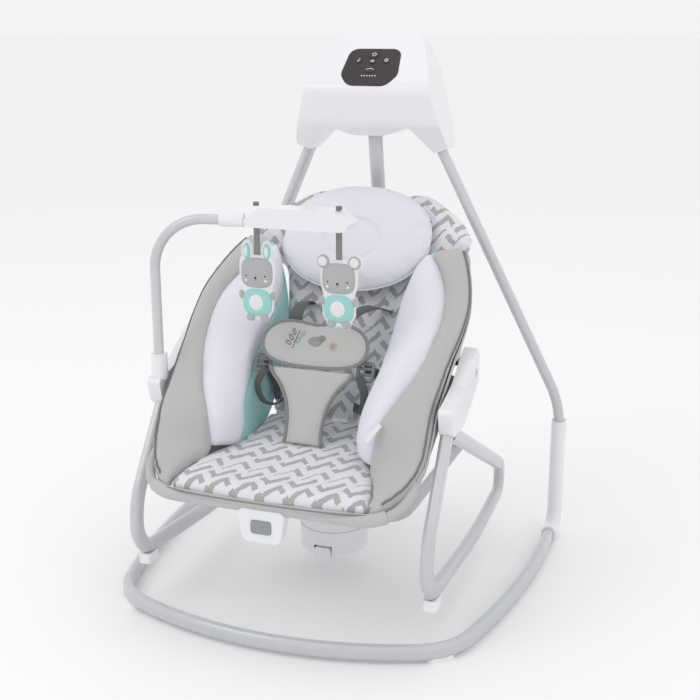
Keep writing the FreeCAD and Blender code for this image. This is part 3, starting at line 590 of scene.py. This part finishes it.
def lightStudio():
    data = bpy.data.meshes.new("StudioFloor")
    half = studio["floorSize"] / 2
    corners = [(-half, -half, 0), (half, -half, 0), (half, half, 0), (-half, half, 0)]
    data.from_pydata(corners, [], [(0, 1, 2, 3)])
    floor = bpy.data.objects.new("StudioFloor", data)
    scene.collection.objects.link(floor)
    material, tree, shader = startMaterial("FloorPaper")
    shader.inputs["Base Color"].default_value = studio["floorTone"]
    shader.inputs["Roughness"].default_value = 1.0
    shader.inputs["Specular IOR Level"].default_value = 0.0
    data.materials.append(material)
    world = bpy.data.worlds.new("StudioWorld")
    world.use_nodes = True
    tree = world.node_tree
    direction = addNode(tree, "ShaderNodeTexCoord").outputs["Generated"]
    height = addNode(tree, "ShaderNodeSeparateXYZ", Vector=direction)
    sky = studio["sky"]
    rising = addNode(tree, "ShaderNodeMapRange", i0=height.outputs[2], i1=0.0, i2=0.25, i3=studio["horizon"],
                     i4=sky).outputs[0]
    tree.links.new(rising, tree.nodes["Background"].inputs[1])
    tree.nodes["Background"].inputs[0].default_value = (1.0, 1.0, 1.0, 1)
    scene.world = world
    for name, place, size, power in studio["lamps"]:
        lamp = bpy.data.lights.new(name, "AREA")
        lamp.shape = "DISK"
        lamp.size = size
        lamp.energy = power
        holder = bpy.data.objects.new(name, lamp)
        scene.collection.objects.link(holder)
        holder.location = place
        holder.rotation_euler = (Vector((0, 0, 0.4)) - Vector(place)).to_track_quat("-Z", "Y").to_euler()
    scene.view_settings.view_transform = "Standard"


placeCamera()
lightStudio()
print("camera and studio placed")


# the hard parts, as the frame gives them

finishOf = {
    "base_tube": tubePaint, "leg_tube_left": tubePaint, "leg_tube_right": tubePaint, "swing_arm": tubePaint,
    "cross_tube": tubePaint, "rocker_loop_left": tubePaint, "rocker_loop_right": tubePaint, "toy_bar": tubePaint,
    "seat_tube": greyVelour, "back_tube": plainSteel, "swing_axle": plainSteel, "head_screws": plainSteel,
    "pivot_brackets": plainSteel, "axle_bearings": plainSteel, "panel_lens": darkGloss,
    "tray_clips": clipGrey, "cross_collars": greyPlastic, "vibration_key": greyPlastic,
    "circuit_board": circuitGreen, "batteries": cellMetal, "drive_magnet": cellMetal, "drive_coil": woundCopper,
    "speaker": mattBlack, "rocker_feet": footRubber, "front_feet": footRubber,
}
for label, item in nodes.items():
    finish = finishOf.get(label, darkGloss if label.startswith("button_") else whiteGloss)
    item.data.materials.clear()
    item.data.materials.append(finish)
    item.data.shade_smooth()
    rounding = item.modifiers.new("EvenNormals", "WEIGHTED_NORMAL")
    rounding.keep_sharp = True
print("hard parts finished:", len(nodes))


def onSeat(piece, slotName, *replaced):
    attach(piece, "seat")
    if replaced:
        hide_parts(*replaced)
    return piece


# the bucket's fabric: seams and rims for one side, mirrored

bucket = {
    "rim": [(180, -286, 257), (212, -254, 271), (229, -228, 289), (238, -205, 312), (240, -178, 348),
            (238, -146, 378), (240, -106, 410), (242, -65, 440), (246, -20, 471), (246, 20, 501),
            (237, 62, 533), (223, 98, 562), (206, 134, 588)],
    "seam": [(168, -289, 258), (158, -245, 268), (146, -213, 276), (137, -193, 288), (146, -187, 347),
             (162, -168, 380), (178, -139, 408), (194, -99, 440), (203, -45, 481), (201, 0, 512),
             (190, 45, 537), (169, 88, 563), (148, 113, 582)],
    "edge": [(112, -144, 272), (108, -128, 300), (107, -112, 337), (108, -81, 370), (111, -45, 404),
             (111, -8, 435), (111, 25, 464), (112, 62, 500), (124, 92, 540), (146, 112, 581)],
    "foot": [(112, -140, 268), (108, -122, 266), (105, -98, 268), (104, -62, 274), (103, -22, 284),
             (100, 12, 322), (101, 47, 370), (104, 82, 420), (118, 108, 480), (142, 120, 566)],
    "wingThick": 0.019, "wingCrown": 0.009, "bolsterThick": 0.030, "bolsterCrown": 0.016,
    "linerThick": 0.012, "linerCrown": 0.004, "tag": [(139, -214, 336), (148, -206, 349), (158, -197, 362)],
    "tagWide": 0.012, "outside": 0.014, "under": (0.004, -0.010), "swell": (0.012, -0.014), "shellThick": 0.004,
    "rows": 72, "pipingInset": 0.06,
}


def mirrored(points, side):
    return [(side * p[0], p[1], p[2]) for p in points]


def spanGrid(first, second, rows, cols):
    # rows along two curves, columns from the first to the second
    a = curveThrough(first, rows)
    b = curveThrough(second, rows)
    steps = edgeSteps(cols)[None, :, None]
    return a[:, None, :] * (1 - steps) + b[:, None, :] * steps


def evenRows(grid, rows):
    picked = edgeSteps(rows) * (grid.shape[0] - 1)
    low = np.clip(picked.astype(int), 0, grid.shape[0] - 2)
    part = (picked - low)[:, None, None]
    return grid[low] * (1 - part) + grid[low + 1] * part


def makeSide(side, label):
    seam, rim = mirrored(bucket["seam"], side), mirrored(bucket["rim"], side)
    edge, foot = mirrored(bucket["edge"], side), mirrored(bucket["foot"], side)
    rows = bucket["rows"]
    grid = evenRows(spanGrid(seam, rim, 200, 22), rows)
    wing = padFromGrid("wing_panel_" + label, grid, bucket["wingThick"], bucket["wingCrown"],
                       (side * 0.3, -0.4, 0.8), greyVelour)
    subdivide(puffUp(wing, cap=0.004))
    onSeat(wing, "grey_fabric", "wing_" + label)
    grid = evenRows(spanGrid(edge, seam[3:], 200, 20), rows)
    bolster = padFromGrid("bolster_" + label, grid, bucket["bolsterThick"], bucket["bolsterCrown"],
                          (-side * 0.4, -0.6, 0.6), whiteJersey)
    subdivide(puffUp(bolster, cap=0.006))
    onSeat(bolster, "plush_fabric")
    grid = evenRows(spanGrid(foot, edge, 200, 14), rows)
    grid[..., 0] += side * 0.006
    liner = padFromGrid("liner_" + label, grid, bucket["linerThick"], bucket["linerCrown"],
                        (-side, 0, 0.1), aquaMesh)
    subdivide(liner)
    onSeat(liner, "toy_fabric")
    if side > 0:
        onSeat(sweep("seam_tag", curveThrough(bucket["tag"], 12), bandProfile(bucket["tagWide"], 0.0009),
                     feltWhite, up=(-0.35, -0.65, 0.67)), "grey_fabric")
    # the outside of the bucket, from under the rim down to the pan
    shift = np.array((side * bucket["outside"], *bucket["under"]))
    swell = np.array((side * bucket["swell"][0], 0, bucket["swell"][1]))
    grid = evenRows(spanGrid(foot, rim[2:], 200, 16), rows)
    rise = np.linspace(0, 1, 16)[None, :, None]
    grid = grid + shift * (1 - rise) + np.sin(math.pi * rise) * swell
    shell = padFromGrid("outer_panel_" + label, grid, bucket["shellThick"], 0.0, (side, 0, -0.5), greyVelour)
    subdivide(shell)
    onSeat(shell, "grey_fabric")
    outer = curveThrough(rim, 200)
    inner = curveThrough(seam, 200)
    above = np.array((0, -0.0055, 0.0075))
    inset = bucket["pipingInset"]
    line = layOn(wing, (outer * (1 - inset) + inner * inset + above)[6:194], 0.0010)
    onSeat(sweep("rim_piping_" + label, line, roundProfile(0.0017), pipingDark), "grey_fabric")
    print("bucket side", label)


for side, label in ((-1, "left"), (1, "right")):
    makeSide(side, label)


# printed cover: the seat's pan and the back

cover = {
    "panMiddle": [(-301, 261), (-288, 261), (-240, 263), (-205, 266), (-170, 270), (-135, 275), (-95, 281),
                  (-50, 288), (-12, 297)],
    "panEdge": [(168, -290, 259), (169, -270, 261), (165, -242, 266), (157, -210, 271), (148, -178, 274),
                (132, -142, 276), (116, -98, 283), (110, -54, 290), (108, -16, 299)],
    "backMiddle": [(-14, 296), (8, 314), (32, 352), (58, 392), (85, 431), (115, 476), (146, 522), (172, 560),
                   (196, 596), (215, 626), (226, 646), (231, 658)],
    "backEdge": [(108, -14, 299), (110, 2, 318), (112, 28, 358), (114, 54, 400), (118, 80, 440), (127, 106, 486),
                 (140, 130, 536), (186, 140, 572), (203, 148, 600), (184, 178, 626), (140, 206, 648),
                 (70, 224, 660)],
    "panThick": 0.016, "backThick": 0.028, "behind": (0, 0.0262, -0.0172), "shellRows": 50, "crown": 0.004,
    "sleeve": [(196, -279, 246), (179, -287, 242), (152, -292, 240), (76, -292, 240)],
}


def dishedGrid(middle, edge, dish, rows, cols):
    # centre line and one edge, mirrored, with a shallow hollow between
    centre = curveThrough([(0, *p) for p in middle], rows)
    right = curveThrough(edge, rows)
    grid = np.zeros((rows, cols, 3))
    for c, u in enumerate(edgeSteps(cols) * 2 - 1):
        reach = abs(u) ** dish
        grid[:, c, 0] = right[:, 0] * u
        grid[:, c, 1:] = centre[:, 1:] * (1 - reach) + right[:, 1:] * reach
    return grid


def markCloth(piece, middle):
    # where each point lies on the flat cloth: across, and along the middle line
    line = curveThrough([(0, *p) for p in middle], 240)
    run = np.concatenate([[0], np.cumsum(np.linalg.norm(np.diff(line, axis=0), axis=1))])
    points = vertexArray(piece.data)
    nearest = np.argmin(((points[:, None, 1:] - line[None, :, 1:]) ** 2).sum(axis=2), axis=1)
    layer = piece.data.attributes.new("cloth", "FLOAT_VECTOR", "POINT")
    values = np.stack([points[:, 0], run[nearest], np.zeros(len(points))], axis=1)
    layer.data.foreach_set("vector", values.astype(np.float32).ravel())


def makeCover():
    for name, middle, edge, thick, node, cap, dish in (
            ("seat_cover", "panMiddle", "panEdge", "panThick", "seat_pad", 0.004, 2.2),
            ("back_cover", "backMiddle", "backEdge", "backThick", "back_pad", 0.005, 2.4)):
        grid = evenRows(dishedGrid(cover[middle], cover[edge], dish, 220, 40), 76)
        piece = padFromGrid(name, grid, cover[thick], cover["crown"], (0, -0.5, 0.7), chevronPrint)
        puffUp(piece, cap=cap)
        markCloth(piece, cover[middle])
        subdivide(piece)
        onSeat(piece, "print_fabric", node)
    # plain cloth behind the back
    grid = evenRows(dishedGrid(cover["backMiddle"], cover["backEdge"], 2.4, 220, 40), 76)[:cover["shellRows"]]
    grid = grid * np.array((1.01, 1, 1)) + np.array(cover["behind"])
    shell = padFromGrid("back_shell", grid, 0.003, 0.0, (0, 0.8, -0.5), greyVelour)
    onSeat(subdivide(shell), "grey_fabric")
    # fabric sleeve on the seat's tube, showing below the cover's front edge
    half = cover["sleeve"]
    path = curveThrough(mirrored(half, -1) + half[::-1], 150)
    onSeat(sweep("front_sleeve", path, ellipse(0.0100, 0.0108, count=16), padGrey), "grey_fabric")
    lip = [(-168, -292, 250), (-120, -303, 251), (-60, -309, 252), (0, -310, 252), (60, -309, 252),
           (120, -303, 251), (168, -292, 250)]
    onSeat(sweep("front_piping", curveThrough(lip, 90), roundProfile(0.0015), bindingGrey), "grey_fabric")
    print("printed cover made")


makeCover()


# head pillow

pillowPlan = {"centre": (0, 141, 589), "lean": 33.8, "halfWidth": 0.141, "halfHeight": 0.104, "rise": 0.021,
              "seamWidth": 0.050, "seamHeight": 0.040, "allowance": 1.025}


def makePillow():
    place = leaning(pillowPlan["centre"], pillowPlan["lean"])
    outline = ellipse(pillowPlan["halfWidth"], pillowPlan["halfHeight"], count=72, power=2.15)
    outline = outline * pillowPlan["allowance"]
    pillow = puffDisc("head_pillow", outline, pillowPlan["rise"], place, whitePlush, under=0.008, rings=16)
    puffUp(pillow, voxel=0.005, cap=0.004)
    # the round centre seam draws the plush in
    points = vertexArray(pillow.data)
    origin, right, up = place(0, 0), np.array((1, 0, 0)), place(0, 1) - place(0, 0)
    out = place(0, 0, 1) - place(0, 0)
    a, b = (points - origin) @ right, (points - origin) @ up
    ring = np.sqrt((a / pillowPlan["seamWidth"]) ** 2 + ((b + 0.012) / pillowPlan["seamHeight"]) ** 2)
    front = ((points - origin) @ out) > 0.002
    groove = np.exp(-((ring - 1) / 0.09) ** 2) * 0.0045 + np.where(ring < 1, 0.0025, 0)
    points -= out * (groove * front)[:, None]
    pillow.data.vertices.foreach_set("co", points.astype(np.float32).ravel())
    subdivide(pillow)
    onSeat(pillow, "plush_fabric", "pillow")
    rim = layOn(pillow, [place(p[0], p[1], 0.0015) for p in outline], 0.0004)
    onSeat(sweep("pillow_piping", rim, roundProfile(0.0016), whiteJersey, closed=True), "plush_fabric")
    print("pillow made")


makePillow()


# harness: chest pad, crotch strap, webbing and buckles

harness = {
    "padCentre": (0, -68, 443), "padLean": 24, "padRise": 0.008,
    "padOutline": [(0, 32), (34, 36), (62, 34), (84, 22), (93, 2), (88, -18), (70, -31), (36, -37), (0, -38),
                   (-36, -37), (-70, -31), (-88, -18), (-93, 2), (-84, 22), (-62, 34), (-34, 36)],
    "strapCentre": (0, -131, 287), "strapLean": 21.3, "strapThick": 0.007,
    "strapHalf": [(0, 33), (14, 31), (42, 32), (70, 38), (96, 52), (114, 68), (126, 74)],
}


embroidery = {
    "stem": [(-0.036, -0.010), (-0.034, 0.000), (-0.030, 0.012), (-0.027, 0.022)],
    "leaves": [(-0.041, 0.008, 35), (-0.028, 0.004, -30), (-0.037, 0.018, 20), (-0.021, 0.015, -40),
               (-0.045, -0.001, 60)],
    "leafLong": 0.0055, "leafWide": 0.0026, "bodyCentre": (0.003, 0.004), "bodyHalf": (0.013, 0.0085),
    "headCentre": (0.014, 0.010), "headHalf": (0.0065, 0.0055), "flower": (0.035, -0.002), "petal": 0.0085,
    "thread": 0.00045,
}


def makeEmbroidery(pad, place):
    # a leaf sprig, a small sleeping animal and a flower, in thread
    runs = [(threadDark, embroidery["stem"])]
    for a, b, turn in embroidery["leaves"]:
        spin = math.radians(turn)
        leaf = ellipse(embroidery["leafWide"], embroidery["leafLong"], count=14)
        leaf = [(a + x * math.cos(spin) - y * math.sin(spin), b + x * math.sin(spin) + y * math.cos(spin))
                for x, y in leaf]
        runs.append((threadAqua if turn < 0 else threadDark, leaf + leaf[:1]))
    for centre, half in (("bodyCentre", "bodyHalf"), ("headCentre", "headHalf")):
        (a, b), (wide, tall) = embroidery[centre], embroidery[half]
        for step in np.linspace(-0.9, 0.9, 9):
            reach = wide * math.sqrt(1 - step * step)
            height = b + tall * step
            runs.append((threadSage, [(a - reach, height), (a, height), (a + reach, height)]))
    a, b = embroidery["flower"]
    for turn in range(0, 360, 40):
        t = math.radians(turn)
        ray = [(a + k * math.cos(t), b + k * math.sin(t)) for k in (0.0015, embroidery["petal"])]
        runs.append((threadPink, ray))
    parts = []
    for material, points in runs:
        line = landOn(pad, place, points, embroidery["thread"])
        if len(line) > 1:
            parts.append(sweep("thread", line, roundProfile(embroidery["thread"], 6), material))
    onSeat(joinPieces("chest_embroidery", parts), "grey_fabric")
    print("embroidery made", len(parts), "threads")


def makeHarness():
    place = leaning(harness["padCentre"], harness["padLean"])
    outline = curveThrough([(a, b, 0) for a, b in harness["padOutline"]], 96, closed=True)[:, :2]
    pad = puffDisc("chest_cushion", outline, harness["padRise"], place, padGrey, under=0.004, rings=12,
                   power=3.5)
    subdivide(pad)
    onSeat(pad, "grey_fabric", "chest_pad")
    rim = [place(a, b, 0.001) for a, b in outline]
    onSeat(sweep("chest_binding", rim, [(x, y * 1.5) for x, y in roundProfile(0.0026)], bindingGrey,
                 closed=True), "grey_fabric")
    seam = [place(a * 0.93, b * 0.86, harness["padRise"] * 0.62) for a, b in outline]
    onSeat(stitches("chest_stitching", seam, 0.0028, 0.0016, 0.0003, threadLight), "grey_fabric")
    makeEmbroidery(pad, place)
    base = leaning(harness["strapCentre"], harness["strapLean"])
    halves = curveThrough([(w, h, 0) for h, w in harness["strapHalf"]], 44)
    grid = np.zeros((44, 18, 3))
    for r, (half, height, _) in enumerate(halves):
        for c, u in enumerate(edgeSteps(18) * 2 - 1):
            grid[r, c] = base(u * half, height, 0.0035 * (1 - u * u))
    strap = padFromGrid("crotch_panel", grid, harness["strapThick"], 0.002, (0, -1, 0.4), padGrey)
    subdivide(strap)
    onSeat(strap, "grey_fabric", "crotch_strap")
    for side, label in ((-1, "left"), (1, "right")):
        line = [base(side * half, height, 0.0) for half, height, _ in halves]
        onSeat(sweep("crotch_binding_" + label, line, [(x, y * 1.3) for x, y in roundProfile(0.003)],
                     bindingGrey), "grey_fabric")
        seam = [base(side * (half - 0.007), height, 0.0032) for half, height, _ in halves[2:]]
        onSeat(stitches("crotch_stitching_" + label, seam, 0.0028, 0.0016, 0.0003, threadLight), "grey_fabric")
    print("chest pad and crotch strap made")


makeHarness()

webbing = {
    "shoulder": [(42, -54, 466), (46, -38, 482), (54, 0, 489), (64, 50, 486), (74, 98, 470)],
    "waist": [(90, -72, 408), (100, -48, 398), (104, -22, 380), (100, -8, 350), (92, -14, 320)],
    "hanging": [(84, -84, 400), (96, -92, 372), (90, -84, 340), (74, -66, 330), (66, -40, 336)],
    "shoulderWide": 0.024, "waistWide": 0.018, "thick": 0.0022,
}


def makeWebbing():
    shoulder, waist = [], []
    for side in (-1, 1):
        line = curveThrough(mirrored(webbing["shoulder"], side), 36)
        shoulder.append(sweep("band", line, bandProfile(webbing["shoulderWide"], webbing["thick"]), darkWebbing,
                              up=(0, -0.5, 0.86)))
        line = curveThrough(mirrored(webbing["waist"], side), 32)
        waist.append(sweep("band", line, bandProfile(webbing["waistWide"], webbing["thick"]), darkWebbing,
                           up=(side, -0.2, 0.3)))
        line = curveThrough(mirrored(webbing["hanging"], side), 36)
        waist.append(sweep("band", line, bandProfile(0.014, webbing["thick"]), darkWebbing, up=(0, -0.7, 0.7)))
    onSeat(joinPieces("shoulder_webbing", shoulder), "webbing", "shoulder_straps")
    onSeat(joinPieces("waist_webbing", waist), "webbing", "waist_straps")


makeWebbing()

buckle = {"centre": (92, -70, 404), "wide": 0.026, "tall": 0.030, "bar": 0.0032, "lean": 24}


def makeBuckles():
    parts = []
    for side in (-1, 1):
        x, y, z = buckle["centre"]
        place = leaning((side * x, y, z), buckle["lean"])
        w, h, r = buckle["wide"] / 2, buckle["tall"] / 2, buckle["bar"]
        frameLine = [place(a, b, 0.004) for a, b in ellipse(w, h, count=32, power=5)]
        parts.append(sweep("bar", frameLine, roundProfile(r, 8), clipGrey, closed=True))
        for height in (-0.3, 0.35):
            line = [place(a * w, height * h, 0.004) for a in (-0.95, -0.4, 0.4, 0.95)]
            parts.append(sweep("bar", line, roundProfile(r * 0.85, 8), clipGrey))
    onSeat(joinPieces("ladder_buckles", parts), "grey_plastic", "buckles")
    print("webbing and buckles made")


makeBuckles()


# hanging toys

toyPlan = {"height": 0.546, "depth": -0.118, "bunny": -0.080, "bear": 0.062, "felt": 0.0035, "loop": 0.6475,
           "hem": 0.601,
           "border": [(0, 54), (14, 54), (27, 52), (32, 42), (32.5, 24), (30, 6), (27, -2), (32.5, -8), (33, -16),
                      (29, -24), (29, -36), (23, -46), (19, -56), (9, -58.5), (0, -55)]}


def toyPlace(x):
    # (across, up, out) about the toy's middle; out is towards the child's front
    return lambda a, b, c=0.0: np.array((x + a, toyPlan["depth"] - c, toyPlan["height"] + b))


def blob(name, place, centre, size, rise, material, base=0.0, power=2.0, count=28, rings=6):
    outline = ellipse(size[0], size[1], centre, count=count, power=power)
    raised = lambda a, b, c=0.0: place(a, b, c + base)
    return puffDisc(name, outline, rise, raised, material, under=0.0015, rings=rings)


def toyParts(place, ears):
    parts = []
    half = toyPlan["border"]
    border = half + [(-a, b) for a, b in half[-2:0:-1]]
    edge = curveThrough([(a, b, 0) for a, b in border], 84, closed=True)[:, :2]
    parts.append(puffDisc("felt", edge, toyPlan["felt"], place, feltWhite, under=toyPlan["felt"], rings=6,
                          power=8))
    parts.append(blob("head", place, (0, 0.0245), (0.0285, 0.0255), 0.0075, feltGrey, 0.002, power=3.2, rings=8))
    parts.append(blob("trunk", place, (0, -0.0245), (0.0265, 0.0235), 0.0072, feltAqua, 0.002, power=2.8, rings=8))
    parts.append(blob("belly", place, (0, -0.0240), (0.0140, 0.0140), 0.0030, feltWhite, 0.0072))
    for side in (-1, 1):
        parts.append(blob("paw", place, (side * 0.0280, -0.0120), (0.0048, 0.0075), 0.0045, feltGrey, 0.002))
        parts.append(blob("foot", place, (side * 0.0125, -0.0500), (0.0080, 0.0068), 0.0055, feltGrey, 0.002))
        parts.append(blob("cheek", place, (side * 0.0175, 0.0125), (0.0024, 0.0024), 0.0008, feltWhite, 0.0078))
        parts.append(blob("eye", place, (side * 0.0165, 0.0205), (0.0014, 0.0016), 0.0009, threadDark, 0.0080))
        if ears == "long":
            parts.append(blob("ear", place, (side * 0.0178, 0.0600), (0.0068, 0.0135), 0.004, feltAqua, 0.002))
            parts.append(blob("ear", place, (side * 0.0182, 0.0600), (0.0036, 0.0090), 0.0022, feltWhite, 0.0046))
        else:
            parts.append(blob("ear", place, (side * 0.0265, 0.0515), (0.0110, 0.0110), 0.004, feltGrey, 0.002))
            parts.append(blob("ear", place, (side * 0.0268, 0.0520), (0.0080, 0.0080), 0.0022, feltWhite, 0.0048))
    parts.append(blob("nose", place, (0, 0.0175), (0.0026, 0.0020), 0.0012, threadDark, 0.0088))
    parts.append(sweep("mouth", [place(0, 0.0160, 0.0095), place(0, 0.0120, 0.0094)], roundProfile(0.0004, 6),
                       threadDark))
    return parts


def backOf(place):
    # the same toy shape seen from behind is plain felt, lightly filled
    plain = lambda a, b, c=0.0: place(a, b, -c)
    return [blob("rear", plain, (0, 0.0245), (0.0285, 0.0255), 0.007, feltGrey, 0.002, power=3.2),
            blob("rear", plain, (0, -0.0245), (0.0265, 0.0235), 0.007, feltGrey, 0.002, power=2.8)]


def makeToys():
    for who, ears in (("bunny", "long"), ("bear", "round")):
        place = toyPlace(toyPlan[who])
        parts = toyParts(place, ears) + backOf(place)
        if ears == "long":
            for side in (-1, 1):
                parts.append(blob("felt", place, (side * 0.0178, 0.0600), (0.0108, 0.0190), 0.0026, feltWhite))
        else:
            for side in (-1, 1):
                parts.append(blob("felt", place, (side * 0.0265, 0.0515), (0.0142, 0.0142), 0.0026, feltWhite))
        toy = subdivide(joinPieces("soft_" + who, parts))
        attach(toy, who)
        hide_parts("toy_" + who)
        top = toyPlan["loop"]
        line = [(toyPlan[who], toyPlan["depth"], z) for z in np.linspace(toyPlan["hem"], top, 12)]
        strap = sweep("hanger_" + who, line, bandProfile(0.0105, 0.0026), bindingGrey, up=(0, 1, 0))
        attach(strap, who)
        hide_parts("strap_" + who)
    print("toys made")


makeToys()


# symbols on the control panel

symbols = {"line": 0.00055, "lift": 0.0002}
faceMiddle, faceLean = (0, 221, 889), 45


def makeSymbols():
    place = leaning(faceMiddle, faceLean)
    keySpots = {"power": (0, 0.027), "melody": (-0.026, 0.013), "volume": (0, 0.011), "timer": (0.026, 0.013),
                "speed": (0, -0.009)}
    drawings = {
        "power": [arc((0, 0.027), 0.0036, 125, 415), [(0, 0.0272), (0, 0.0318)]],
        "melody": [arc((-0.0275, 0.0106), 0.0012, 0, 360), [(-0.0263, 0.0106), (-0.0263, 0.0162)],
                   [(-0.0263, 0.0162), (-0.0236, 0.0150)]],
        "volume": [[(-0.0034, 0.0098), (-0.0014, 0.0098), (0.0006, 0.0078), (0.0006, 0.0142),
                    (-0.0014, 0.0122), (-0.0034, 0.0122), (-0.0034, 0.0098)],
                   arc((0.0006, 0.011), 0.0024, -50, 50, 8)],
        "timer": [arc((0.026, 0.013), 0.0032, 0, 360, 24), [(0.026, 0.0152), (0.026, 0.013), (0.0276, 0.0122)]],
        "speed": [arc((0, -0.0155), 0.0085, 35, 145, 16)],
    }
    for key, strokes in drawings.items():
        parts = []
        for stroke in strokes:
            line = landOn(nodes["button_" + key], place, stroke, symbols["lift"])
            if len(line) > 1:
                parts.append(sweep("stroke", line, roundProfile(symbols["line"], 6), inkWhite))
        if parts:
            mark = joinPieces("symbol_" + key, parts)
            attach(mark, "key_" + key)
        print("symbol", key, len(parts), "strokes at", keySpots[key])
    lamps = []
    for i in range(6):
        spot = landOn(nodes["panel_lens"], place, ellipse(0.0008, 0.0008, (-0.0125 + 0.005 * i, -0.0235), 10),
                      symbols["lift"])
        if len(spot) > 3:
            lamps.append(sweep("dot", spot, roundProfile(symbols["line"], 6), inkWhite, closed=True))
    if lamps:
        row = joinPieces("level_dots", lamps)
        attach(row, "swing_frame")


makeSymbols()
